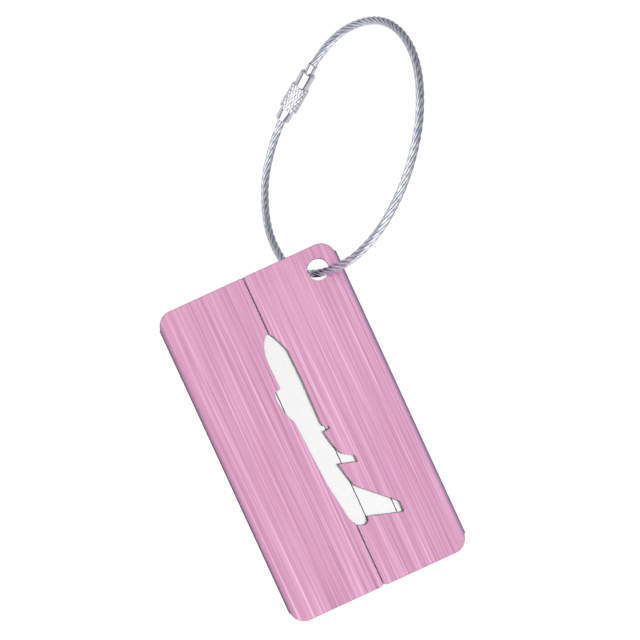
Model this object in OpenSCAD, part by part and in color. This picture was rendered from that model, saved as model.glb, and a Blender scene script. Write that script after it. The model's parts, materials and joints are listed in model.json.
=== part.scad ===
// Luggage tag: a folded aluminium sleeve with an airliner cut-out, a name card inside it,
// and a wire-rope loop through the corner hole, closed by a knurled screw clasp.
// The tag hangs from its loop: +Z is up, the cut-out faces -Y, and the origin is the point at the
// inside top of the loop where a bag handle bears on it. Millimetres and degrees.

/* [Tag] */
// Width of the folded tag across its long sides
tag_width = 46.3; // [40:0.1:56]
// Length of the tag along its folded sides
tag_length = 80.7; // [78.5:0.1:100]
// Thickness of the tag over both layers
tag_thickness = 3; // [2.6:0.1:4]
// Thickness of the aluminium sheet
sheet = 0.5; // [0.4:0.05:0.7]
// Gap where the two front flaps meet
seam_gap = 0.25; // [0.15:0.05:0.5]
// Radius of the tag's cut corners
corner_r = 3.6; // [2:0.1:5]
// Diameter of the corner hole for the loop
hole_d = 5.2; // [5:0.1:6]
// Distance of the hole's centre from the right side
hole_from_side = 5.75; // [5.2:0.05:8]
// Distance of the hole's centre from the top edge
hole_from_top = 5.7; // [5:0.1:8]
// Turn of the hanging tag from upright
tag_tilt = 24.67; // [0:0.01:30]

/* [Name card] */
// Width of the paper card
card_width = 42.5; // [36:0.5:42.5]
// Length of the paper card
card_length = 78; // [72:0.5:79]
// Thickness of the paper card
card_thickness = 0.35; // [0.2:0.05:0.5]
// Size of the corner cut away beside the loop
card_clip = 14; // [13:0.5:18]

/* [Loop] */
// Diameter of the wire rope
rope_d = 2; // [1.4:0.1:2]
// Lean of the loop's plane away from upright
loop_lean = 12.9; // [0:0.1:20]
// Turn of the loop's plane from facing the front
loop_turn = 56.6; // [50:0.1:65]

/* [Clasp] */
// Diameter over the knurled band
knurl_d = 4.8; // [4.4:0.1:5]
// Length of the knurled band
knurl_length = 7.2; // [6:0.1:7.2]
// Diameter of the barrel's smooth end
barrel_d = 4; // [3.8:0.1:4.4]
// Length of the barrel's smooth end
barrel_smooth = 3.9; // [3.5:0.1:4]
// Diameter of the swivel ferrule's collar
collar_d = 2.5; // [2.4:0.05:2.5]
// Length of the collar above the barrel
collar_length = 2.5; // [2:0.1:2.5]
// Diameter of the stud fitting's shoulder
shoulder_d = 3.7; // [3.4:0.1:4]
// Length of the stud fitting's shoulder
shoulder_length = 3.3; // [3:0.1:3.3]
// Length of the screwed stud inside the barrel
stud_length = 5.6; // [4:0.1:6]

/* [Hidden] */
$fn = 64;

// Tag, drawn upright with its top edge at z = 0, its front face at y = 0 and its seam at x = 0
seam_shift = 0.3;       // how far right of the tag's middle the seam lies
fold_r = tag_thickness / 2;
flat_half = tag_width / 2 - fold_r;
hole_x = tag_width / 2 - seam_shift - hole_from_side;
fold_inset = 0.45;      // how far the fold stands past the rounded corner
fold_start = 3.2;       // where the fold begins below the tag's end
seam_corner_r = 0.8;    // small corners where the flaps meet
slide_play = 0.1;       // between the card and the sheet behind it
card_from_top = (tag_length - card_length) / 2;

// The hole's centre on the front face, seen from the loop's hanging point
hole_at = [-10.8, -10.3, -59.8];

// Airliner cut-out: distances right of the seam and down from the top edge
nose = [-0.1, 14.3];
belly = [-3, 21.1];
wing_root = [-2.9, 27.7];
wing_tip = [-4.8, 30.5];
wing_end = [-3.2, 36.2];
tail_under = [-1.1, 61.6];
tail_end = [2, 65.5];
tail_top = [3.2, 63.9];
fin_foot = [3.7, 56.3];
curve_steps = 8;
cutout = concat(
    curve(nose, [-2.9, 16.3], belly),
    [wing_root],
    curve([-4.1, 28], [-5, 28.5], wing_tip),
    curve(wing_tip, [-4.7, 33.3], wing_end),
    [[-3.05, 38], [-2.3, 53], tail_under],
    curve(tail_under, [-0.5, 65.4], tail_end),
    curve(tail_end, [3.2, 65.6], tail_top),
    [[11.5, 66.5], [11.8, 66.2], [11.8, 64.1], [11.4, 63.5]],
    [fin_foot],
    curve(fin_foot, [3, 54.7], [2.1, 49.7]),
    [[6.6, 51.1], [6.6, 49.6], [4.1, 48]],
    curve([4.1, 48], [2.7, 45.9], [2.2, 41.4]),
    [[3.9, 41.2], [3.9, 40.6], [2.9, 40.3]],
    curve([2.9, 40.3], [2.4, 39.9], [2.5, 38.5]),
    [[2.7, 27.8], [2.5, 20.5]],
    curve([2.5, 20.5], [2.1, 18.3], nose)
);

// Clasp: its knurled band's centre and its axis, in the loop's plane from the loop's centre
clasp_at = [-24.9, 15.3];
clasp_axis = [0.6, 0.8];
clasp_side = [0.8, -0.6];
clasp_angle = asin(clasp_axis[0]);
knurl_half = knurl_length / 2;
barrel_top = knurl_half + barrel_smooth;
collar_top = barrel_top + collar_length;
shoulder_foot = -knurl_half - shoulder_length;
stud_top = stud_length - knurl_half;
stud_d = 2.8;           // over the thread's crests
thread_bore_d = 3.1;    // inside the barrel
barrel_wall = 0.8;      // end wall that the swivel head bears on
swivel_play = 0.1;
head_d = 2.9;
head_length = 1.2;
head_top = barrel_top - barrel_wall - swivel_play;
crimp_depth = 3;        // how far the rope goes into each fitting
crimp_play = 0.02;
chamfer = 0.25;
collar_chamfer = 0.12;

// The loop hangs from this point of its plane: the inside top of the rope
hang_at = [0.3, 32 - rope_d / 2];

// The rope's route in the loop's plane, from the ferrule over the top, round through the tag's
// hole and up to the stud fitting; bend_from and bend_to number the points of its free bend
route = concat(
    [on_clasp(collar_top - crimp_depth), on_clasp(collar_top - crimp_depth / 2), on_clasp(collar_top)],
    [[-16.6, 25.7], [-13.6, 28], [-8.8, 30.4], [-2.9, 31.6], [3.4, 31.7], [9.6, 30.5],
    [15.5, 27.9], [20.7, 24.2], [24.9, 19.8], [28.2, 14.6], [30.4, 9], [31.7, 3.1], [31.8, -2.9],
    [30.8, -8.9], [28.8, -14.4], [25.7, -19.5], [23.5, -22], [21, -24.3], [16, -27.6],
    [10.1, -29.8], [4.1, -31], [-2.1, -31.3], [-8.2, -30.5], [-14, -28.4], [-19, -25],
    [-23.6, -20.9], [-27.2, -16.1], [-29.8, -10.8], [-31.5, -5.2], [-31.5, 0], [-30.9, 4.3],
    [-29.9, 7.4]],
    [on_clasp(shoulder_foot), on_clasp(shoulder_foot + crimp_depth / 2), on_clasp(shoulder_foot + crimp_depth)]
);
bend_from = 18;
bend_to = 20;
rope_sides = 8;

// A point on the clasp's axis, its distance above the knurled band's centre given
function on_clasp(height) = clasp_at + height * clasp_axis;

// Points along a curve that leaves a for c and arrives at b from c
function curve(a, c, b) = [
    for (i = [0 : curve_steps])
        let (t = i / curve_steps)
            (1 - t) * (1 - t) * a + 2 * t * (1 - t) * c + t * t * b
];

// A smooth curve through the route: the point at a step of half a segment
function route_point(i) = route[max(0, min(len(route) - 1, i))];
function rope_at(step) = step % 2 == 0
    ? route_point(step / 2)
    : let (i = (step - 1) / 2)
        (9 * (route_point(i) + route_point(i + 1)) - route_point(i - 1) - route_point(i + 2)) / 16;
function rope_heading(step) = let (d = rope_at(step + 1) - rope_at(step - 1)) d / norm(d);

module rounded_rectangle(w, h, r) {
    square([w - 2 * r, h], center = true);
    square([w, h - 2 * r], center = true);
    for (x = [-1, 1])
        for (y = [-1, 1])
            translate([x * (w / 2 - r), y * (h / 2 - r)])
                circle(r);
}

// A slot with round ends, centred, lying along x
module stadium(half_flat, r) {
    square([2 * half_flat, 2 * r], center = true);
    for (x = [-1, 1])
        translate([x * half_flat, 0])
            circle(r);
}

// Extrudes a front view backwards: x stays, the drawing's y becomes z, and it runs from y0 to y1
module through(y0, y1) {
    translate([0, y1, 0])
        rotate([90, 0, 0])
            linear_extrude(y1 - y0)
                children();
}

// Puts what is drawn upright where the tag hangs
module hang_tag() {
    translate(hole_at)
        rotate([0, -tag_tilt, 0])
            translate([-hole_x, 0, hole_from_top])
                children();
}

// Puts what is drawn in the loop's plane, x right and z up, where the loop hangs
module hang_loop() {
    rotate([-loop_lean, 0, -loop_turn])
        translate([-hang_at[0], 0, -hang_at[1]])
            children();
}

// Puts what is drawn along z about the knurled band's centre on the clasp's axis
module on_clasp_axis() {
    hang_loop()
        translate([clasp_at[0], 0, clasp_at[1]])
            rotate([0, clasp_angle, 0])
                children();
}

// The outline that the folded blank shows from the front
module tag_outline() {
    translate([-seam_shift, -tag_length / 2]) {
        rounded_rectangle(tag_width - 2 * fold_inset, tag_length, corner_r);
        square([tag_width, tag_length - 2 * fold_start], center = true);
    }
}

// What is cut away where the flaps' small corners meet at one end of the seam
module seam_notch() {
    wide = seam_gap + 2 * seam_corner_r;
    difference() {
        translate([-wide / 2, -seam_corner_r])
            square([wide, seam_corner_r + 1]);
        for (x = [-1, 1])
            translate([x * wide / 2, -seam_corner_r])
                circle(seam_corner_r);
    }
}

module folded_sleeve() {
    color("#dca2c3")
        hang_tag()
            difference() {
                intersection() {
                    translate([0, fold_r, -tag_length])
                        linear_extrude(tag_length)
                            difference() {
                                translate([-seam_shift, 0])
                                    stadium(flat_half, fold_r);
                                translate([-seam_shift, 0])
                                    stadium(flat_half, fold_r - sheet);
                                translate([-seam_gap / 2, -fold_r - 1])
                                    square([seam_gap, fold_r + 1]);
                            }
                    through(-1, tag_thickness + 1)
                        tag_outline();
                }
                through(-1, fold_r)
                    mirror([0, 1])
                        polygon(cutout);
                through(-1, fold_r)
                    seam_notch();
                through(-1, fold_r)
                    translate([0, -tag_length])
                        mirror([0, 1])
                            seam_notch();
                translate([hole_x, -1, -hole_from_top])
                    rotate([-90, 0, 0])
                        cylinder(d = hole_d, h = tag_thickness + 2);
            }
}

module name_card() {
    half = card_width / 2;
    back = tag_thickness - sheet - slide_play;
    color("#f3f3f3")
        hang_tag()
            translate([-seam_shift, 0, -card_from_top])
                through(back - card_thickness, back)
                    polygon([[-half, 0], [half - card_clip, 0], [half, -card_clip],
                        [half, -card_length], [-half, -card_length]]);
}

// A tube swept along the route from one of its points to another
module rope(from, to) {
    steps = [2 * from : 2 * to];
    rings = 2 * (to - from) + 1;
    around = [0 : rope_sides - 1];
    points = [
        for (s = steps)
            let (c = rope_at(s), h = rope_heading(s))
                for (k = around)
                    let (a = (k + 0.5) * 360 / rope_sides, out = rope_d / 2 * cos(a))
                        [c[0] + out * h[1], rope_d / 2 * sin(a), c[1] - out * h[0]]
    ];
    sides = [
        for (i = [0 : rings - 2])
            for (k = around)
                let (n = (k + 1) % rope_sides, a = i * rope_sides, b = a + rope_sides)
                    [a + k, b + k, b + n, a + n]
    ];
    first_end = [for (k = around) k];
    last_end = [for (k = around) rings * rope_sides - 1 - k];
    color("#b9bcc6")
        hang_loop()
            polyhedron(points = points, faces = concat(sides, [first_end], [last_end]), convexity = 6);
}

module cable_upper() {
    rope(0, bend_from);
}

module cable_bend() {
    rope(bend_from, bend_to);
}

module cable_lower() {
    rope(bend_to, len(route) - 1);
}

// A ferrule crimped on the rope, with a head that stays captive in the barrel
module swivel_ferrule() {
    r = collar_d / 2;
    bore = rope_d / 2 + crimp_play;
    bottom = collar_top - crimp_depth;
    color("#c9ccd4")
        on_clasp_axis()
            rotate_extrude()
                polygon([[0, head_top - head_length], [head_d / 2, head_top - head_length],
                    [head_d / 2, head_top], [r, head_top], [r, collar_top - collar_chamfer],
                    [r - collar_chamfer, collar_top], [bore, collar_top], [bore, bottom],
                    [0, bottom]]);
}

module knurled_barrel() {
    outer = knurl_d / 2;
    smooth = barrel_d / 2;
    bore = thread_bore_d / 2;
    neck = collar_d / 2 + 0.05;
    color("#d6d8de")
        on_clasp_axis()
            rotate_extrude()
                polygon([[bore, -knurl_half], [outer - chamfer, -knurl_half],
                    [outer, chamfer - knurl_half], [outer, knurl_half - chamfer],
                    [outer - chamfer, knurl_half], [smooth, knurl_half],
                    [smooth, barrel_top - chamfer], [smooth - chamfer, barrel_top],
                    [neck, barrel_top], [neck, barrel_top - barrel_wall],
                    [bore, barrel_top - barrel_wall]]);
}

// A fitting crimped on the rope's other end, with the screwed stud that the barrel takes
module stud_fitting() {
    r = stud_d / 2;
    outer = shoulder_d / 2;
    bore = rope_d / 2 + crimp_play;
    top = shoulder_foot + crimp_depth;
    color("#c4c7d0")
        on_clasp_axis()
            rotate_extrude()
                polygon([[bore, shoulder_foot], [outer - chamfer, shoulder_foot],
                    [outer, shoulder_foot + chamfer], [outer, -knurl_half], [r, -knurl_half],
                    [r, stud_top - chamfer], [r - chamfer, stud_top], [0, stud_top],
                    [0, top], [bore, top]]);
}

folded_sleeve();
name_card();
cable_upper();
cable_bend();
cable_lower();
swivel_ferrule();
knurled_barrel();
stud_fitting();
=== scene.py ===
"""A luggage tag: a brushed pink aluminium sleeve with an airliner cut-out, its name card, and a
wire-rope loop closed by a knurled screw clasp. Shapes are drawn in millimetres, which MM turns into
the frame's metres. The camera, the floor and the light are placed in metres."""

import json
import math

import bmesh
import bpy
import numpy as np
from mathutils import Matrix, Vector
from mathutils.geometry import delaunay_2d_cdt


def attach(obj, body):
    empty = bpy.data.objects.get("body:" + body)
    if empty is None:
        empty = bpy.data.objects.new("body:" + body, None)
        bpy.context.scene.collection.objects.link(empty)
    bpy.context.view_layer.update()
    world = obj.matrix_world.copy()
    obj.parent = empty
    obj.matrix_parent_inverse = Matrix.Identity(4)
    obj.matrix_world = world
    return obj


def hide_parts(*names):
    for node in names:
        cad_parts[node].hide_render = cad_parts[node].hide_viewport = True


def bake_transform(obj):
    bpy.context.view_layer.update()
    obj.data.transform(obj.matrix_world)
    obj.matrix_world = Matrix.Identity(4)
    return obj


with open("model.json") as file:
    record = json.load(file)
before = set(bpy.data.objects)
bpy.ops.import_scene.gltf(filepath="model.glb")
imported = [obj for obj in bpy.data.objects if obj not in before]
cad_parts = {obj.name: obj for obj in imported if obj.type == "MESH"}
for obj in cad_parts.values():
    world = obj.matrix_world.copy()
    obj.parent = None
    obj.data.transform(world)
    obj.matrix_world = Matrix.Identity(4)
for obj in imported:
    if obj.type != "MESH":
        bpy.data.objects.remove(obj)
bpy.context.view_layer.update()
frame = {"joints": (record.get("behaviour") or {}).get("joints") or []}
joints = {joint["name"]: joint for joint in frame["joints"]}

MM = 0.001


def at(x, y, z):
    return Matrix.Translation((x * MM, y * MM, z * MM))


def turned(degrees, axis):
    return Matrix.Rotation(math.radians(degrees), 4, axis)


# Where the tag, the loop's plane and the clasp's axis lie in the row frame
TAG_WIDTH, TAG_LENGTH, TAG_THICKNESS = 46.3, 80.7, 3.0
SEAM_SHIFT = 0.3                           # how far right of the tag's middle the seam lies
HOLE_D, HOLE_X, HOLE_DOWN = 5.2, 17.1, 5.7
HOLE_AT = Matrix.Translation(joints["tag_swing"]["pos_m"])
DOWN_TAG = joints["card_slide"]["axis"]
TAG_TILT = math.degrees(math.atan2(DOWN_TAG[0], -DOWN_TAG[2]))
TAG = HOLE_AT @ at(0, -TAG_THICKNESS / 2, 0) @ turned(-TAG_TILT, "Y") @ at(-HOLE_X, 0, HOLE_DOWN)
LOOP = turned(-56.6, "Z") @ turned(-12.9, "X") @ at(-0.3, 0, -31)
CLASP_AT = np.array([-24.9, 15.3])
CLASP_AXIS = np.array([0.6, 0.8])
CLASP = LOOP @ at(CLASP_AT[0], 0, CLASP_AT[1]) @ turned(math.degrees(math.asin(CLASP_AXIS[0])), "Y")


def in_loop_plane(point):
    """A point of the loop's plane in the row frame, in metres."""
    return LOOP @ Vector((point[0] * MM, 0, point[1] * MM))


def on_clasp(height):
    return CLASP_AT + height * CLASP_AXIS


# ---------------------------------------------------------------- camera

CAMERA_AT = (-0.01035, -0.43834, -0.07183)
LENS, SENSOR_WIDTH = 101.25, 36


def make_camera():
    """A level view, straight at the tag's front."""
    data = bpy.data.cameras.new("camera")
    data.lens = LENS
    data.sensor_width = SENSOR_WIDTH
    camera = bpy.data.objects.new("camera", data)
    camera.location = CAMERA_AT
    camera.rotation_euler = (math.radians(90), 0, 0)
    bpy.context.scene.collection.objects.link(camera)
    bpy.context.scene.camera = camera


make_camera()


# ---------------------------------------------------------------- meshes

def add_mesh(name, points, faces, matrix, material, smooth_to=35):
    """A closed mesh from points in millimetres, its faces turned outwards."""
    mesh = bpy.data.meshes.new(name)
    mesh.from_pydata([[c * MM for c in p] for p in points], [], faces)
    bm = bmesh.new()
    bm.from_mesh(mesh)
    bmesh.ops.recalc_face_normals(bm, faces=bm.faces)
    bm.to_mesh(mesh)
    bm.free()
    mesh.shade_smooth()
    if smooth_to:
        mesh.set_sharp_from_angle(angle=math.radians(smooth_to))
    mesh.materials.append(material)
    piece = bpy.data.objects.new(name, mesh)
    piece.matrix_world = matrix
    bpy.context.scene.collection.objects.link(piece)
    return piece


def even_normals(piece):
    """Keeps wide faces looking flat right up to their rounded edges."""
    modifier = piece.modifiers.new("even_normals", "WEIGHTED_NORMAL")
    modifier.mode = "FACE_AREA"
    modifier.weight = 60
    modifier.keep_sharp = True


def round_corners(profile, radius, steps=3):
    """A profile with each of its inner corners turned into a small arc."""
    points = [Vector(p) for p in profile]
    rounded = [points[0]]
    for before, corner, after in zip(points, points[1:], points[2:]):
        to_before = before - corner
        to_after = after - corner
        reach = min(radius, to_before.length * 0.45, to_after.length * 0.45)
        start = corner + to_before.normalized() * reach
        end = corner + to_after.normalized() * reach
        for i in range(steps + 1):
            t = i / steps
            rounded.append((1 - t) ** 2 * start + 2 * t * (1 - t) * corner + t ** 2 * end)
    rounded.append(points[-1])
    return [tuple(p) for p in rounded]


def lathe(rings, sides, hollow):
    """A surface turned about z through rings of (radius, z); a radius may be a function of angle and z.
    A hollow one joins its last ring to its first, and a solid one is capped at both ends."""
    angles = np.arange(sides) * 2 * math.pi / sides
    points = []
    for radius, z in rings:
        r = radius(angles, z) if callable(radius) else np.full(sides, float(radius))
        points += [(r[k] * math.cos(angles[k]), r[k] * math.sin(angles[k]), z) for k in range(sides)]
    count = len(rings)
    faces = []
    for i in range(count if hollow else count - 1):
        j = (i + 1) % count
        for k in range(sides):
            n = (k + 1) % sides
            faces.append((i * sides + k, i * sides + n, j * sides + n, j * sides + k))
    if not hollow:
        faces.append(tuple(range(sides)))
        faces.append(tuple(range((count - 1) * sides, count * sides)))
    return points, faces


def zigzag(x):
    """1 at whole numbers, falling evenly to 0 half-way between them."""
    return np.abs(2 * (x - np.floor(x)) - 1)


# ---------------------------------------------------------------- materials

def new_material(name, **sockets):
    """A material whose Principled shader has these whole-surface values."""
    material = bpy.data.materials.new(name)
    material.use_nodes = True
    shader = material.node_tree.nodes["Principled BSDF"]
    for socket, value in sockets.items():
        shader.inputs[socket.replace("_", " ")].default_value = value
    return material, shader


def add_node(material, kind, links=(), **settings):
    """A node with its settings, its inputs linked from other nodes' outputs or given values."""
    node = material.node_tree.nodes.new(kind)
    for name, value in settings.items():
        setattr(node, name, value)
    for socket, source in dict(links).items():
        if hasattr(source, "is_output"):
            material.node_tree.links.new(source, node.inputs[socket])
        else:
            node.inputs[socket].default_value = source
    return node


def connect(material, source, target):
    material.node_tree.links.new(source, target)


def object_axes(material):
    """The x, y and z of a place on the object, in metres."""
    place = add_node(material, "ShaderNodeTexCoord")
    split = add_node(material, "ShaderNodeSeparateXYZ", {"Vector": place.outputs["Object"]})
    return split.outputs["X"], split.outputs["Y"], split.outputs["Z"]


def stretched_noise(material, size, detail=2.0, roughness=0.5):
    """Noise whose grains have these lengths along the object's x, y and z, in millimetres."""
    place = add_node(material, "ShaderNodeTexCoord")
    scale = tuple(1 / (s * MM) for s in size)
    mapping = add_node(material, "ShaderNodeMapping", {"Vector": place.outputs["Object"], "Scale": scale})
    noise = add_node(
        material,
        "ShaderNodeTexNoise",
        {"Vector": mapping.outputs["Vector"], "Scale": 1.0, "Detail": detail, "Roughness": roughness},
    )
    return noise.outputs["Fac"]


def ramp(material, value, stops):
    """Colours spread over a value."""
    node = add_node(material, "ShaderNodeValToRGB", {"Fac": value})
    elements = node.color_ramp.elements
    elements[0].position, elements[0].color = stops[0][0], (*stops[0][1], 1)
    elements[1].position, elements[1].color = stops[-1][0], (*stops[-1][1], 1)
    for position, colour in stops[1:-1]:
        elements.new(position).color = (*colour, 1)
    return node.outputs["Color"]


def spread(material, value, low, high, to_low, to_high):
    """A value stretched from one range to another."""
    node = add_node(
        material,
        "ShaderNodeMapRange",
        {"Value": value, "From Min": low, "From Max": high, "To Min": to_low, "To Max": to_high},
    )
    return node.outputs["Result"]


def math_node(material, operation, *values):
    node = material.node_tree.nodes.new("ShaderNodeMath")
    node.operation = operation
    for i, value in enumerate(values):
        if hasattr(value, "is_output"):
            connect(material, value, node.inputs[i])
        else:
            node.inputs[i].default_value = value
    return node.outputs["Value"]


def add_bump(material, shader, height, strength, distance):
    node = add_node(
        material, "ShaderNodeBump", {"Height": height, "Strength": strength, "Distance": distance * MM}
    )
    connect(material, node.outputs["Normal"], shader.inputs["Normal"])


def linear(red, green, blue):
    """A display colour of 0 to 255 as linear values."""
    return tuple(((c / 255 + 0.055) / 1.055) ** 2.4 for c in (red, green, blue))


def tones(material, value, stops):
    """Display colours of 0 to 255 spread over a value."""
    return ramp(material, value, [(share, linear(*colour)) for share, colour in stops])


def mix_colour(material, share, colour, other):
    """A colour mixed with another one, which may be a plain colour."""
    node = add_node(material, "ShaderNodeMix", data_type="RGBA")
    connect(material, share, node.inputs["Factor"])
    connect(material, colour, node.inputs["A"])
    if hasattr(other, "is_output"):
        connect(material, other, node.inputs["B"])
    else:
        node.inputs["B"].default_value = (*other, 1)
    return node.outputs["Result"]


# Colours of the anodising: over the brushing's mixed grains, and painted shade from the flat (0) round to
# the outermost line of each fold (1), darker and greyer outwards, with a faint painted highlight band on
# the left fold
BRUSHED = [
    (0.40, (178, 121, 152)), (0.51, (201, 144, 175)), (0.57, (208, 153, 184)), (0.63, (215, 161, 192)),
    (0.76, (234, 192, 215)),
]
DARK_LINE, BRIGHT_LINE = (176, 120, 152), (238, 196, 220)
RIGHT_FOLD_PAINTED_SHADE = [
    (0.0, (224, 164, 198)), (0.25, (220, 163, 198)), (0.5, (198, 150, 188)), (0.7, (168, 128, 166)),
    (0.85, (138, 106, 140)), (1.0, (104, 84, 108)),
]
LEFT_FOLD_PAINTED_SHADE_AND_HIGHLIGHT = [
    (0.0, (222, 164, 198)), (0.4, (214, 158, 192)), (0.6, (222, 172, 208)), (0.78, (190, 150, 184)),
    (0.92, (132, 104, 128)), (1.0, (112, 90, 110)),
]


def brushed_colour(material, scratches, bands):
    """The flat faces' pinks: fine scratches over bands, with a few darker and brighter lines."""
    broad = stretched_noise(material, (7, 7, 400), detail=1)
    mixed = math_node(material, "MULTIPLY", scratches, 0.55)
    mixed = math_node(material, "MULTIPLY_ADD", bands, 0.5, mixed)
    mixed = math_node(material, "MULTIPLY_ADD", broad, 0.1, mixed)
    colour = tones(material, mixed, BRUSHED)
    lines = stretched_noise(material, (0.42, 0.42, 55), detail=0)
    dark_lines = spread(material, lines, 0.36, 0.26, 0.0, 0.75)
    bright_lines = spread(material, lines, 0.66, 0.76, 0.0, 0.75)
    colour = mix_colour(material, dark_lines, colour, linear(*DARK_LINE))
    return mix_colour(material, bright_lines, colour, linear(*BRIGHT_LINE))


def brushed_anodised():
    """Pink anodised aluminium brushed along the tag, duller where it is bent round the folds, where painted
    shade makes it greyer and darker towards each fold's outermost line.
    """
    material, shader = new_material("anodised_sheet")
    scratches = stretched_noise(material, (0.26, 0.26, 38), detail=2, roughness=0.65)
    bands = stretched_noise(material, (0.9, 0.9, 120), detail=4, roughness=0.7)
    colour = brushed_colour(material, scratches, bands)
    x, _, _ = object_axes(material)
    across = math_node(material, "ADD", x, SEAM_SHIFT * MM)
    flat = (TAG_WIDTH - TAG_THICKNESS) / 2 * MM
    edge = TAG_WIDTH / 2 * MM
    # Each fold's colour is painted shade, darker and greyer towards its outermost line; the left fold also
    # has a faint painted highlight band part-way round
    for side, fold in ((1, RIGHT_FOLD_PAINTED_SHADE), (-1, LEFT_FOLD_PAINTED_SHADE_AND_HIGHLIGHT)):
        past = spread(material, math_node(material, "MULTIPLY", across, side), flat, edge, 0.0, 1.0)
        share = spread(material, past, 0.0, 0.3, 0.0, 1.0)
        colour = mix_colour(material, share, colour, tones(material, past, fold))
    on_fold = spread(material, math_node(material, "ABSOLUTE", across), flat, flat + 0.3 * MM, 0.0, 1.0)
    satin = spread(material, bands, 0.3, 0.7, 0.44, 0.32)
    connect(material, colour, shader.inputs["Base Color"])
    connect(material, spread(material, on_fold, 0.0, 1.0, 0.9, 0.25), shader.inputs["Metallic"])
    connect(material, math_node(material, "MULTIPLY_ADD", on_fold, 0.2, satin), shader.inputs["Roughness"])
    add_bump(material, shader, scratches, 0.35, 0.02)
    return material


def sheared_edge():
    """The tag's cut edges: duller than its faces, with marks through the sheet's thickness."""
    material, shader = new_material("sheared_edge", Metallic=0.2, Roughness=0.5)
    marks = stretched_noise(material, (0.3, 2.0, 0.3), detail=3)
    colour = tones(material, marks, [(0.35, (176, 140, 166)), (0.65, (214, 180, 204))])
    connect(material, colour, shader.inputs["Base Color"])
    add_bump(material, shader, marks, 0.3, 0.02)
    return material


def bright_steel(name, marks, roughness):
    """Turned or drawn bright steel, with marks of this size along x, y and z."""
    material, shader = new_material(name, Metallic=1.0)
    grain = stretched_noise(material, marks, detail=3)
    wear = stretched_noise(material, (1.6, 1.6, 1.6), detail=3)
    colour = tones(material, wear, [(0.35, (232, 233, 239)), (0.65, (246, 247, 250))])
    worn = spread(material, wear, 0.3, 0.7, roughness + 0.06, roughness - 0.03)
    connect(material, colour, shader.inputs["Base Color"])
    connect(material, worn, shader.inputs["Roughness"])
    add_bump(material, shader, grain, 0.25, 0.006)
    return material


def drawn_wire():
    """The rope's bright drawn wires, a little greyer and rougher in random patches."""
    material, shader = new_material("wire_rope", Metallic=1.0, Specular_Tint=(0.5, 0.53, 0.62, 1))
    grime = stretched_noise(material, (2.5, 2.5, 2.5), detail=4)
    colour = tones(material, grime, [(0.35, (214, 217, 228)), (0.65, (243, 245, 250))])
    connect(material, colour, shader.inputs["Base Color"])
    connect(material, spread(material, grime, 0.3, 0.7, 0.3, 0.18), shader.inputs["Roughness"])
    return material


def ruled_paper():
    """White card, printed with ruled lines along its length."""
    material, shader = new_material("ruled_paper", Roughness=0.85, Specular_IOR_Level=0.25)
    x, _, z = object_axes(material)
    period, first, half_width, margin = 7.2, 2.9, 0.12, 7.0
    shifted = math_node(material, "ADD", x, (period * 10 - first) * MM)
    phase = math_node(material, "FRACT", math_node(material, "DIVIDE", shifted, period * MM))
    away = math_node(material, "ABSOLUTE", math_node(material, "SUBTRACT", phase, 0.5))
    on_line = math_node(material, "GREATER_THAN", away, 0.5 - half_width / period)
    below_top = math_node(material, "LESS_THAN", z, -margin * MM)
    above_foot = math_node(material, "GREATER_THAN", z, (margin - TAG_LENGTH) * MM)
    line = math_node(material, "MULTIPLY", on_line, math_node(material, "MULTIPLY", below_top, above_foot))
    fibres = stretched_noise(material, (0.25, 0.25, 0.5), detail=4)
    paper = tones(material, fibres, [(0.3, (238, 238, 237)), (0.7, (246, 246, 245))])
    connect(material, mix_colour(material, line, paper, linear(74, 74, 80)), shader.inputs["Base Color"])
    add_bump(material, shader, fibres, 0.3, 0.01)
    return material


def pale_floor():
    """A white matt surface, lit evenly."""
    material, shader = new_material("pale_floor", Roughness=1.0, Specular_IOR_Level=0.0)
    shader.inputs["Base Color"].default_value = (0.93, 0.93, 0.93, 1)
    shader.inputs["Emission Color"].default_value = (1, 1, 1, 1)
    shader.inputs["Emission Strength"].default_value = 1.0
    return material


# ---------------------------------------------------------------- wire rope

ROPE_D = 2.0
STRANDS, WIRES = 6, 6      # strands round the core, and outer wires in a strand
STRAND_R = ROPE_D / 6
STRAND_AT = ROPE_D / 3     # from the rope's middle to a strand's
ROPE_LAY = 13.8            # the length in which the strands go once round
WIRE_LAY = 6.5             # the length in which a strand's wires go once round
RING_STEP = 0.3
EASE_REACH = 5             # rings to each side over which the route is averaged
ROPE_IN_FITTING = 2.3      # of its end in each fitting, how much isn't drawn

# The rope's route in the loop's plane, from the ferrule over the top to the stud fitting
ROUTE = [
    on_clasp(7.0), on_clasp(8.5), on_clasp(10.0),
    (-16.6, 25.7), (-13.6, 28), (-8.8, 30.4), (-2.9, 31.6), (3.4, 31.7), (9.6, 30.5),
    (15.5, 27.9), (20.7, 24.2), (24.9, 19.8), (28.2, 14.6), (30.4, 9), (31.7, 3.1), (31.8, -2.9),
    (30.8, -8.9), (28.8, -14.4), (25.7, -19.5), (23.5, -22), (21, -24.3), (16, -27.6),
    (10.1, -29.8), (4.1, -31), (-2.1, -31.3), (-8.2, -30.5), (-14, -28.4), (-19, -25),
    (-23.6, -20.9), (-27.2, -16.1), (-29.8, -10.8), (-31.5, -5.2), (-31.5, 0), (-30.9, 4.3),
    (-29.9, 7.4),
    on_clasp(-6.9), on_clasp(-5.4), on_clasp(-3.9),
]


def smooth_line(route, parts=12):
    """A smooth curve through the route's points."""
    p = np.array([route[0], *route, route[-1]], float)
    line = []
    for i in range(1, len(p) - 2):
        for t in np.arange(parts) / parts:
            line.append(
                0.5 * (2 * p[i] + (p[i + 1] - p[i - 1]) * t
                       + (2 * p[i - 1] - 5 * p[i] + 4 * p[i + 1] - p[i + 2]) * t ** 2
                       + (3 * p[i] - 3 * p[i + 1] + p[i + 2] - p[i - 1]) * t ** 3)
            )
    line.append(p[-1])
    return np.array(line)


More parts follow.
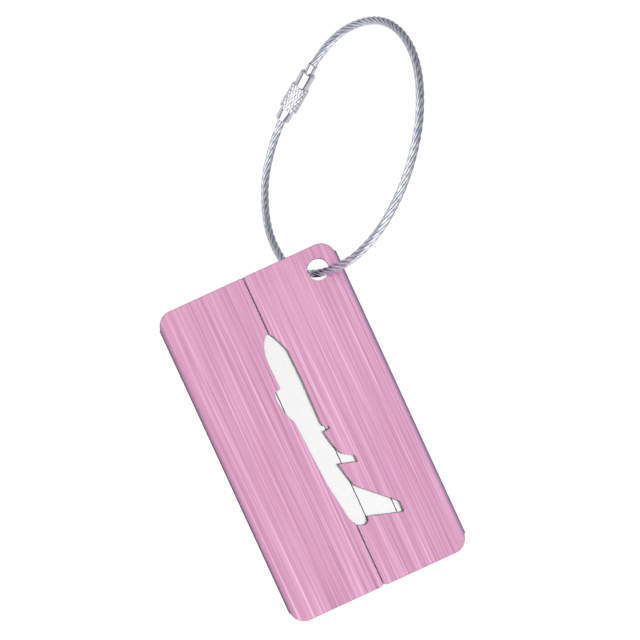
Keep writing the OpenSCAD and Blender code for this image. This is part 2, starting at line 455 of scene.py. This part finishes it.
def even_line(line, step):
    """The same curve with its points a step apart."""
    gone = np.concatenate([[0], np.cumsum(np.linalg.norm(np.diff(line, axis=0), axis=1))])
    places = np.linspace(ROPE_IN_FITTING, gone[-1] - ROPE_IN_FITTING, round(gone[-1] / step))
    return np.stack([np.interp(places, gone, line[:, k]) for k in (0, 1)], axis=1)


def rope_rings():
    """The rope's ring centres in the row frame, in millimetres, and the way it heads at each."""
    flat = even_line(smooth_line(ROUTE), RING_STEP)
    eased = flat.copy()
    for i in range(EASE_REACH, len(flat) - EASE_REACH):
        eased[i] = flat[i - EASE_REACH:i + EASE_REACH + 1].mean(axis=0)
    centres = np.array([in_loop_plane(p) for p in eased]) / MM
    heading = np.gradient(centres, axis=0)
    return centres, heading / np.linalg.norm(heading, axis=1)[:, None]


def tube(points, faces, rings):
    """Adds a closed tube through rings of points."""
    base = len(points)
    count, sides = rings.shape[:2]
    points += [tuple(p) for ring in rings for p in ring]
    for i in range(count - 1):
        for k in range(sides):
            n = (k + 1) % sides
            a, b = base + i * sides, base + (i + 1) * sides
            faces.append((a + k, a + n, b + n, b + k))
    faces.append(tuple(base + k for k in reversed(range(sides))))
    faces.append(tuple(base + (count - 1) * sides + k for k in range(sides)))


def strand_rings(strand, centres, gone, across, beside):
    """One strand's rings of points: round it, its wires stand out with a valley between each two."""
    points_per_wire, valley = 3, 0.12
    sides = WIRES * points_per_wire
    around = np.arange(sides) * 2 * math.pi / sides
    depth = 0.5 - 0.5 * np.cos(WIRES * around + math.pi / points_per_wire)
    radius = STRAND_R * (1 - valley * depth)
    turn = 2 * math.pi * (strand / STRANDS + gone / ROPE_LAY)
    out = np.cos(turn)[:, None] * across + np.sin(turn)[:, None] * beside
    middle = centres + STRAND_AT * out
    along = np.gradient(middle, axis=0)
    along /= np.linalg.norm(along, axis=1)[:, None]
    side = np.cross(along, out)
    angle = around[None, :] - (2 * math.pi * gone / WIRE_LAY)[:, None]
    return middle[:, None, :] + radius[None, :, None] * (
        np.cos(angle)[..., None] * out[:, None, :] + np.sin(angle)[..., None] * side[:, None, :]
    )


def core_rings(centres, across, beside):
    """The plain core's rings of points, on every fourth ring of the rope."""
    sides, every = 8, 4
    around = np.arange(sides) * 2 * math.pi / sides
    return centres[::every, None, :] + STRAND_R * (
        np.cos(around)[None, :, None] * across[None, None, :]
        + np.sin(around)[None, :, None] * beside[::every, None, :]
    )


def make_rope():
    """The loop's rope: six strands of wires laid round a core."""
    centres, heading = rope_rings()
    steps = np.linalg.norm(np.diff(centres, axis=0), axis=1)
    gone = np.concatenate([[0], np.cumsum(steps)])
    across = np.array((LOOP.to_3x3() @ Vector((0, 1, 0))), float)
    beside = np.cross(heading, across)
    points, faces = [], []
    for strand in range(STRANDS):
        tube(points, faces, strand_rings(strand, centres, gone, across, beside))
    tube(points, faces, core_rings(centres, across, beside))

    rope = add_mesh("wire_rope_loop", points, faces, Matrix.Identity(4), drawn_wire(), smooth_to=0)
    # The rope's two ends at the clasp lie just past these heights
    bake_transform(rope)
    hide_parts("cable_upper", "cable_bend", "cable_lower")
    return rope


# ---------------------------------------------------------------- clasp

KNURL_R, KNURL_HALF, SMOOTH_R, BARREL_TOP = 2.4, 3.6, 2.0, 7.5
COLLAR_R, COLLAR_TOP, SHOULDER_R, SHOULDER_FOOT = 1.25, 10.0, 1.85, -6.9
STUD_R, STUD_TOP, BORE_R = 1.4, 2.0, 1.55
HEAD_R, HEAD_HEIGHT = 1.45, 1.2            # the ferrule's head, held inside the barrel's upper wall
THREAD_PITCH, THREAD_STEPS = 0.5, 6        # a turn's height, and how many rings are drawn for it
CRIMP_DEPTH = 3.0
CRIMP_BORE = ROPE_D / 2 + 0.04
ON_AXIS = 0.02                             # as near the axis as a solid's end faces reach
TURNED_SHARP = 25                          # degrees past which a turned part's edge is sharp


def thread(crest, depth):
    """The radius of a screw thread at an angle and a height."""
    def radius(angles, z):
        return crest - depth * zigzag(z / THREAD_PITCH - angles / (2 * math.pi))
    return radius


def knurl(angles, z):
    """The radius of the knurling: flat-topped diamonds between two crossing sets of V grooves."""
    starts, pitch, depth, flat = 16, 2.1, 0.11, 0.55
    radius = np.full(len(angles), KNURL_R)
    for way in (-1, 1):
        groove = zigzag(starts * angles / (2 * math.pi) + way * z / pitch)
        radius -= depth * np.clip((groove - flat) / (1 - flat), 0, 1)
    chamfer = 0.28
    return np.minimum(radius, KNURL_R - chamfer + (KNURL_HALF - abs(z)))


def make_barrel():
    """The knurled sleeve nut, hollow right through, with its thread inside."""
    knurl_rings, sides = 72, 192
    band = [(knurl, z) for z in np.linspace(-KNURL_HALF, KNURL_HALF, knurl_rings + 1)]
    neck = COLLAR_R + 0.05
    chamfer, wall = 0.25, 0.8
    thread_top = 2.5
    smooth_end = round_corners(
        [(SMOOTH_R, KNURL_HALF), (SMOOTH_R, BARREL_TOP - chamfer), (SMOOTH_R - chamfer, BARREL_TOP),
         (neck, BARREL_TOP), (neck, BARREL_TOP - wall), (BORE_R, BARREL_TOP - wall),
         (BORE_R, thread_top + 0.1)],
        0.08,
    )
    turns = np.arange(thread_top, 0.3 - KNURL_HALF, -THREAD_PITCH / THREAD_STEPS)
    inside = [(thread(BORE_R + 0.2, 0.2), z) for z in turns]
    mouth = [(BORE_R + 0.15, 0.2 - KNURL_HALF), (BORE_R + 0.3, -KNURL_HALF)]
    points, faces = lathe([*band, *smooth_end, *inside, *mouth], sides, hollow=True)
    steel = bright_steel("barrel_steel", (0.8, 0.8, 0.06), 0.13)
    barrel = add_mesh("knurled_screw_barrel", points, faces, CLASP, steel, TURNED_SHARP)
    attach(barrel, "barrel")
    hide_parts("knurled_barrel")
    return barrel


def make_ferrule(steel):
    """The collar crimped on the rope's upper end, and its head inside the barrel."""
    head_top = BARREL_TOP - 0.9
    head_foot = head_top - HEAD_HEIGHT
    neck = COLLAR_R - 0.05
    lip = 0.12
    profile = round_corners(
        [(ON_AXIS, head_foot), (HEAD_R, head_foot), (HEAD_R, head_top), (neck, head_top),
         (neck, BARREL_TOP + 0.2), (COLLAR_R, BARREL_TOP + 0.35), (COLLAR_R, COLLAR_TOP - lip),
         (COLLAR_R - lip, COLLAR_TOP), (CRIMP_BORE, COLLAR_TOP), (CRIMP_BORE, COLLAR_TOP - CRIMP_DEPTH),
         (ON_AXIS, COLLAR_TOP - CRIMP_DEPTH)],
        0.06,
    )
    points, faces = lathe(profile, 64, hollow=False)
    ferrule = add_mesh("crimped_ferrule", points, faces, CLASP, steel, TURNED_SHARP)
    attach(ferrule, "loop_upper")
    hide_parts("swivel_ferrule")
    return ferrule


def make_stud(steel):
    """The shoulder crimped on the rope's lower end, and its threaded stud inside the barrel."""
    shoulder_top = -KNURL_HALF - 0.02
    chamfer = 0.3
    root = STUD_R - 0.25
    shoulder = round_corners(
        [(ON_AXIS, SHOULDER_FOOT + CRIMP_DEPTH), (CRIMP_BORE, SHOULDER_FOOT + CRIMP_DEPTH),
         (CRIMP_BORE, SHOULDER_FOOT), (SHOULDER_R - chamfer, SHOULDER_FOOT),
         (SHOULDER_R, SHOULDER_FOOT + chamfer), (SHOULDER_R, shoulder_top), (root, shoulder_top),
         (root, -KNURL_HALF + 0.3)],
        0.08,
    )
    crest = STUD_R + 0.06
    turns = np.arange(0.35 - KNURL_HALF, STUD_TOP - 0.3, THREAD_PITCH / THREAD_STEPS)
    threaded = [(thread(crest, 0.26), z) for z in turns]
    tip = [(crest - 0.28, STUD_TOP - 0.22), (crest - 0.45, STUD_TOP), (ON_AXIS, STUD_TOP)]
    points, faces = lathe([*shoulder, *threaded, *tip], 64, hollow=False)
    stud = add_mesh("threaded_stud", points, faces, CLASP, steel, TURNED_SHARP)
    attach(stud, "loop_lower")
    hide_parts("stud_fitting")
    return stud


# ---------------------------------------------------------------- sheet and card

def inside(point, loop):
    """Whether a point lies inside a closed loop of points."""
    x, y = point
    odd = False
    for (ax, ay), (bx, by) in zip(loop, [*loop[1:], loop[0]]):
        if (ay > y) != (by > y) and x < ax + (y - ay) * (bx - ax) / (by - ay):
            odd = not odd
    return odd


def inset(loop, distance, into):
    """A loop moved sideways into the material; into is 1 for an outline and -1 for a hole."""
    area = sum(a[0] * b[1] - b[0] * a[1] for a, b in zip(loop, [*loop[1:], loop[0]]))
    sign = into * (1 if area > 0 else -1)
    moved = []
    for before, point, after in zip([loop[-1], *loop[:-1]], loop, [*loop[1:], loop[0]]):
        first = (Vector(point) - Vector(before)).normalized()
        second = (Vector(after) - Vector(point)).normalized()
        normal = Vector((-first.y - second.y, first.x + second.x)).normalized()
        lean = max(0.45, normal.dot(Vector((-first.y, first.x))))
        moved.append(tuple(Vector(point) + normal * sign * distance / lean))
    return moved


def plate(outline, holes, folds, half, edge, place):
    """A plate with rounded edges. Its loops are drawn flat, folds are pairs of outline points joined
    by an edge, half is half its thickness, and place says where a point (across, down, out) goes.
    Its edge's faces come first, and their number is returned too."""
    loops = [outline, *holes]
    profile = [
        (edge * (1 - math.sin(a)), half - edge * (1 - math.cos(a)))
        for a in (math.radians(d) for d in (0, 30, 60, 90))
    ]
    profile += [(i, -t) for i, t in reversed(profile)]
    points, faces, starts = [], [], []
    for loop in loops:
        into = 1 if loop is outline else -1
        start = len(points)
        starts.append(start)
        for depth, out in profile:
            points += [place(*p, out) for p in inset(loop, depth, into)]
        size = len(loop)
        for i in range(len(profile) - 1):
            for k in range(size):
                n = (k + 1) % size
                a, b = start + i * size, start + (i + 1) * size
                faces.append((a + k, a + n, b + n, b + k))
    edge_faces = len(faces)
    edges, homes = list(folds), []
    rims = [inset(loop, edge, 1 if loop is outline else -1) for loop in loops]
    for loop, start in zip(loops, starts):
        base = len(homes)
        size = len(loop)
        edges += [(base + k, base + (k + 1) % size) for k in range(size)]
        homes += [(start + k, start + (len(profile) - 1) * size + k) for k in range(size)]
    flat = [Vector(p) for rim in rims for p in rim]
    made, _, triangles, origins, _, _ = delaunay_2d_cdt(flat, edges, [], 0, 1e-5)
    least_area = 5e-5
    for triangle in triangles:
        first, second, third = (made[i] for i in triangle)
        middle = (first + second + third) / 3
        is_sliver = abs((second - first).cross(third - first)) / 2 < least_area
        in_hole = any(inside(middle, rim) for rim in rims[1:])
        if inside(middle, rims[0]) and not in_hole and not is_sliver:
            own = [origins[i][0] for i in triangle]
            faces.append(tuple(homes[i][0] for i in own))
            faces.append(tuple(homes[i][1] for i in reversed(own)))
    return points, faces, edge_faces


def circle(x, y, radius, sides=56):
    angles = [2 * math.pi * k / sides for k in range(sides)]
    return [(x + radius * math.cos(a), y + radius * math.sin(a)) for a in angles]


def curve(a, c, b, steps=8):
    """Points along a curve that leaves a for c and arrives at b from c."""
    a, b, c = Vector(a), Vector(b), Vector(c)
    ts = [i / steps for i in range(steps + 1)]
    return [tuple((1 - t) ** 2 * a + 2 * t * (1 - t) * c + t * t * b) for t in ts]


# The airliner: distances right of the seam and down from the top edge, down its left side from
# the nose to the tail's end, and up its right side back to the nose
NOSE, TAIL_END = (-0.1, 14.3), (2.0, 65.5)
AIRLINER_LEFT = [
    *curve(NOSE, (-2.9, 16.3), (-3.0, 21.1)),
    *curve((-2.9, 27.7), (-2.95, 27.9), (-4.1, 28.0), 3)[:-1],
    *curve((-4.1, 28.0), (-5.0, 28.5), (-4.8, 30.5)),
    *curve((-4.8, 30.5), (-4.7, 33.3), (-3.2, 36.2))[1:],
    (-3.05, 38.0), (-2.3, 53.0),
    *curve((-1.1, 61.6), (-0.5, 65.4), TAIL_END),
]
AIRLINER_RIGHT = [
    *curve(TAIL_END, (3.2, 65.6), (3.2, 63.9))[1:],
    (11.5, 66.5), (11.8, 66.2), (11.8, 64.1), (11.4, 63.5),
    *curve((3.7, 56.3), (3.0, 54.7), (2.1, 49.7)),
    (6.6, 51.1), (6.6, 49.6),
    *curve((4.1, 48.0), (2.7, 45.9), (2.2, 41.4)),
    (3.9, 41.2), (3.9, 40.6),
    *curve((2.9, 40.3), (2.4, 39.9), (2.5, 38.5)),
    (2.7, 27.8),
    *curve((2.5, 20.5), (2.1, 18.3), NOSE),
]

SHEET = 0.5
FOLD_R = TAG_THICKNESS / 2
FOLD_MID_R = FOLD_R - SHEET / 2
FOLD_LENGTH = math.pi * FOLD_MID_R
FLAT_HALF = TAG_WIDTH / 2 - FOLD_R
SEAM_HALF = 0.125
SEAM_CORNER_R = 0.8
CORNER_R, CORNER_X, FOLD_START = 3.6, 19.1, 3.2
FOLD_STEPS = 18


def bent(across, down, out):
    """Where a point of the flat blank goes once both sides are folded to the front."""
    side = -1 if across < 0 else 1
    s = abs(across)
    if s <= FLAT_HALF:
        x, y = s, TAG_THICKNESS - SHEET / 2 + out
    elif s < FLAT_HALF + FOLD_LENGTH:
        angle = (s - FLAT_HALF) / FOLD_MID_R
        x = FLAT_HALF + (FOLD_MID_R + out) * math.sin(angle)
        y = FOLD_R + (FOLD_MID_R + out) * math.cos(angle)
    else:
        x, y = 2 * FLAT_HALF + FOLD_LENGTH - s, SHEET / 2 - out
    return (side * x - SEAM_SHIFT, y, -down)


def front(x):
    """How far across the blank a front flap's point lies, for its distance from the tag's middle."""
    return 2 * FLAT_HALF + FOLD_LENGTH - x


def corner_chain():
    """The blank's edge from the back round a fold to the front at the tag's end, as (across, down,
    number of the fold line that starts there, or None)."""
    chain = []
    steps = 7
    last = math.asin((FLAT_HALF - CORNER_X) / CORNER_R)
    for i in range(steps):
        a = last * i / steps
        chain.append((CORNER_X + CORNER_R * math.sin(a), CORNER_R * (1 - math.cos(a)), None))
    corner_end = math.sqrt(CORNER_R ** 2 - (CORNER_R - FOLD_START) ** 2) + CORNER_X
    corner_angle = math.asin((corner_end - FLAT_HALF) / FOLD_MID_R)
    for k in range(FOLD_STEPS // 2 + 1):
        angle = math.pi * k / FOLD_STEPS
        s = FLAT_HALF + FOLD_MID_R * angle
        if angle < corner_angle:
            x = FLAT_HALF + FOLD_MID_R * math.sin(angle)
            chain.append((s, CORNER_R - math.sqrt(CORNER_R ** 2 - (x - CORNER_X) ** 2), k))
        else:
            if chain[-1][1] < FOLD_START:
                chain.append((FLAT_HALF + FOLD_MID_R * corner_angle, FOLD_START, None))
            chain.append((s, FOLD_START, k))
    whole = 2 * FLAT_HALF + FOLD_LENGTH
    mirrored = [
        (whole - s, down, None if k is None else FOLD_STEPS - k) for s, down, k in reversed(chain[:-1])
    ]
    return chain + mirrored


def flap_edge(side):
    """A front flap's edge down the seam and round its half of the airliner, as (from the seam, down)."""
    outline = [*AIRLINER_LEFT, *AIRLINER_RIGHT]
    if side > 0:
        outline.reverse()
    out = [p for p in outline if p[0] * side > SEAM_HALF + 0.02]
    top, foot = out[0], out[-1]
    steps = 5
    arc = [math.pi / 2 * i / steps for i in range(steps + 1)]
    centre = SEAM_HALF + SEAM_CORNER_R
    corner = [(centre - SEAM_CORNER_R * math.sin(a), SEAM_CORNER_R * (1 - math.cos(a))) for a in arc]
    start = [(SEAM_HALF, top[1] - 0.12), *[(abs(x), down) for x, down in out], (SEAM_HALF, foot[1] + 0.1)]
    return corner + start + [(x, TAG_LENGTH - down) for x, down in reversed(corner)]


def blank():
    """The flat blank: its outline, its two holes, and the fold lines as pairs of outline points."""
    outline, tops, feet = [], {}, {}

    def follow(side, chain, foot):
        for s, down, fold in chain:
            if fold is not None:
                (feet if foot else tops)[(side, fold)] = len(outline)
            outline.append((side * s, TAG_LENGTH - down if foot else down))

    chain = corner_chain()
    follow(1, chain, False)
    outline.extend((front(x + SEAM_SHIFT), down) for x, down in flap_edge(1))
    follow(1, list(reversed(chain)), True)
    follow(-1, chain, True)
    outline.extend((-front(x - SEAM_SHIFT), down) for x, down in reversed(flap_edge(-1)))
    follow(-1, list(reversed(chain)), False)
    back_hole = circle(HOLE_X + SEAM_SHIFT, HOLE_DOWN, HOLE_D / 2)
    front_hole = circle(front(HOLE_X + SEAM_SHIFT), HOLE_DOWN, HOLE_D / 2)
    return outline, [back_hole, front_hole], [(tops[key], feet[key]) for key in sorted(tops)]


def make_sleeve():
    """The folded sheet, with its cut edges in their own material."""
    edge_r = 0.16
    outline, holes, folds = blank()
    points, faces, edge_faces = plate(outline, holes, folds, SHEET / 2, edge_r, bent)
    sleeve = add_mesh("brushed_sleeve", points, faces, TAG, brushed_anodised(), smooth_to=0)
    sleeve.data.materials.append(sheared_edge())
    for face in sleeve.data.polygons[:edge_faces]:
        face.material_index = 1
    even_normals(sleeve)
    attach(sleeve, "tag")
    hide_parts("folded_sleeve")
    return sleeve


CARD_WIDTH, CARD_LENGTH, CARD_THICKNESS = 42.5, 78.0, 0.35
CARD_CLIP = 14.0           # how much of the corner by the hole is cut off, each way
CARD_BACK = 2.4            # how far behind the tag's front the card's long edges lie
CARD_BOW = 1.25
CARD_COLUMNS = 14


def bowed(across, down, out):
    """Where a point of the flat card goes: it bows forwards until it lies close behind the flaps."""
    rise = CARD_BOW * (1 - (2 * across / CARD_WIDTH) ** 4)
    return (across - SEAM_SHIFT, CARD_BACK - CARD_THICKNESS / 2 - rise - out, -down)


def make_card():
    """The name card, with its corner by the hole cut off."""
    half = CARD_WIDTH / 2
    top = (TAG_LENGTH - CARD_LENGTH) / 2
    foot = top + CARD_LENGTH
    nick = 0.6
    columns = [-half + nick + (CARD_WIDTH - 2 * nick) * k / CARD_COLUMNS for k in range(CARD_COLUMNS + 1)]
    corner_x = half - CARD_CLIP

    def top_at(x):
        return top + max(0, x - corner_x)

    upper = sorted({*columns, corner_x})
    outline = [(x, top_at(x)) for x in upper]
    outline += [(half, top + CARD_CLIP), (half, foot - nick)]
    feet_start = len(outline)
    outline += [(x, foot) for x in reversed(columns)]
    outline += [(-half, foot - nick), (-half, top + nick)]
    folds = [(upper.index(x), feet_start + CARD_COLUMNS - k) for k, x in enumerate(columns)]
    points, faces, _ = plate(outline, [], folds, CARD_THICKNESS / 2, 0.05, bowed)
    card = add_mesh("ruled_name_card", points, faces, TAG, ruled_paper(), smooth_to=0)
    even_normals(card)
    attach(card, "card")
    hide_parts("name_card")
    return card


# ---------------------------------------------------------------- studio

def make_floor():
    """A wide pale floor below the hanging tag."""
    mesh = bpy.data.meshes.new("floor")
    half, level = 3.0, -0.19
    corners = [(x * half, y * half, level) for x, y in ((-1, -1), (1, -1), (1, 1), (-1, 1))]
    mesh.from_pydata(corners, [], [(0, 1, 2, 3)])
    mesh.materials.append(pale_floor())
    floor = bpy.data.objects.new("floor", mesh)
    floor.visible_glossy = False
    floor.visible_diffuse = False
    bpy.context.scene.collection.objects.link(floor)


def add_softbox(name, place, aim, size, power):
    """A soft light that casts light and shade but isn't itself mirrored in the metal."""
    data = bpy.data.lights.new(name, "AREA")
    data.shape = "SQUARE"
    data.size = size
    data.energy = power
    light = bpy.data.objects.new(name, data)
    light.location = place
    light.rotation_euler = (Vector(aim) - Vector(place)).to_track_quat("-Z", "Y").to_euler()
    light.visible_glossy = False
    bpy.context.scene.collection.objects.link(light)


# What the metal mirrors: degrees round from the front towards the right, brightness, blue tint
PANELS = [
    (-180, 0.75, 1.04), (-140, 0.8, 1.04), (-120, 0.72, 1.05), (-80, 0.6, 1.07), (-73, 0.05, 1.2),
    (-65, 0.05, 1.2), (-59, 1.3, 1.0), (24, 1.3, 1.0), (30, 0.01, 1.3), (44, 0.01, 1.3),
    (54, 0.3, 1.15), (100, 0.55, 1.08), (150, 0.65, 1.06), (180, 0.75, 1.04),
]


def make_surroundings():
    """A white studio: the background is plain white, and what the metal mirrors is bright panels in
    front and behind, with dark gaps to each side. It is dimmer above and a little brighter below, and
    lights matt surfaces less than it is mirrored."""
    world = bpy.data.worlds.new("studio")
    bpy.context.scene.world = world
    world.use_nodes = True
    tree = world.node_tree
    shown = tree.nodes["Background"]
    shown.inputs["Color"].default_value = (1, 1, 1, 1)
    shown.inputs["Strength"].default_value = 1.02
    place = add_node(world, "ShaderNodeTexCoord")
    split = add_node(world, "ShaderNodeSeparateXYZ", {"Vector": place.outputs["Generated"]})
    ahead = math_node(world, "MULTIPLY", split.outputs["Y"], -1.0)
    azimuth = math_node(world, "ARCTAN2", split.outputs["X"], ahead)
    share = spread(world, azimuth, -math.pi, math.pi, 0.0, 1.0)
    panels = ramp(
        world,
        share,
        [((degrees + 180) / 360, (level, level, level * tint)) for degrees, level, tint in PANELS],
    )
    above = spread(world, split.outputs["Z"], 0.25, 0.8, 1.0, 0.5)
    below = spread(world, split.outputs["Z"], -0.6, -0.2, 1.15, 1.0)
    rays = add_node(world, "ShaderNodeLightPath")
    less_fill = spread(world, rays.outputs["Is Diffuse Ray"], 0.0, 1.0, 1.0, 0.32)
    strength = math_node(world, "MULTIPLY", math_node(world, "MULTIPLY", above, below), less_fill)
    lit = add_node(world, "ShaderNodeBackground", {"Color": panels, "Strength": strength})
    mix = add_node(world, "ShaderNodeMixShader", {"Fac": rays.outputs["Is Camera Ray"]})
    connect(world, lit.outputs["Background"], mix.inputs[1])
    connect(world, shown.outputs["Background"], mix.inputs[2])
    connect(world, mix.outputs["Shader"], tree.nodes["World Output"].inputs["Surface"])


steel = bright_steel("crimp_steel", (0.8, 0.8, 0.08), 0.16)
barrel = make_barrel()
ferrule = make_ferrule(steel)
stud = make_stud(steel)
make_rope()
make_sleeve()
make_card()
make_floor()
make_surroundings()
add_softbox("key", (0.5, -0.57, -0.13), aim=(-0.01, -0.009, -0.09), size=0.22, power=7.7)
bpy.context.scene.view_settings.view_transform = "Standard"
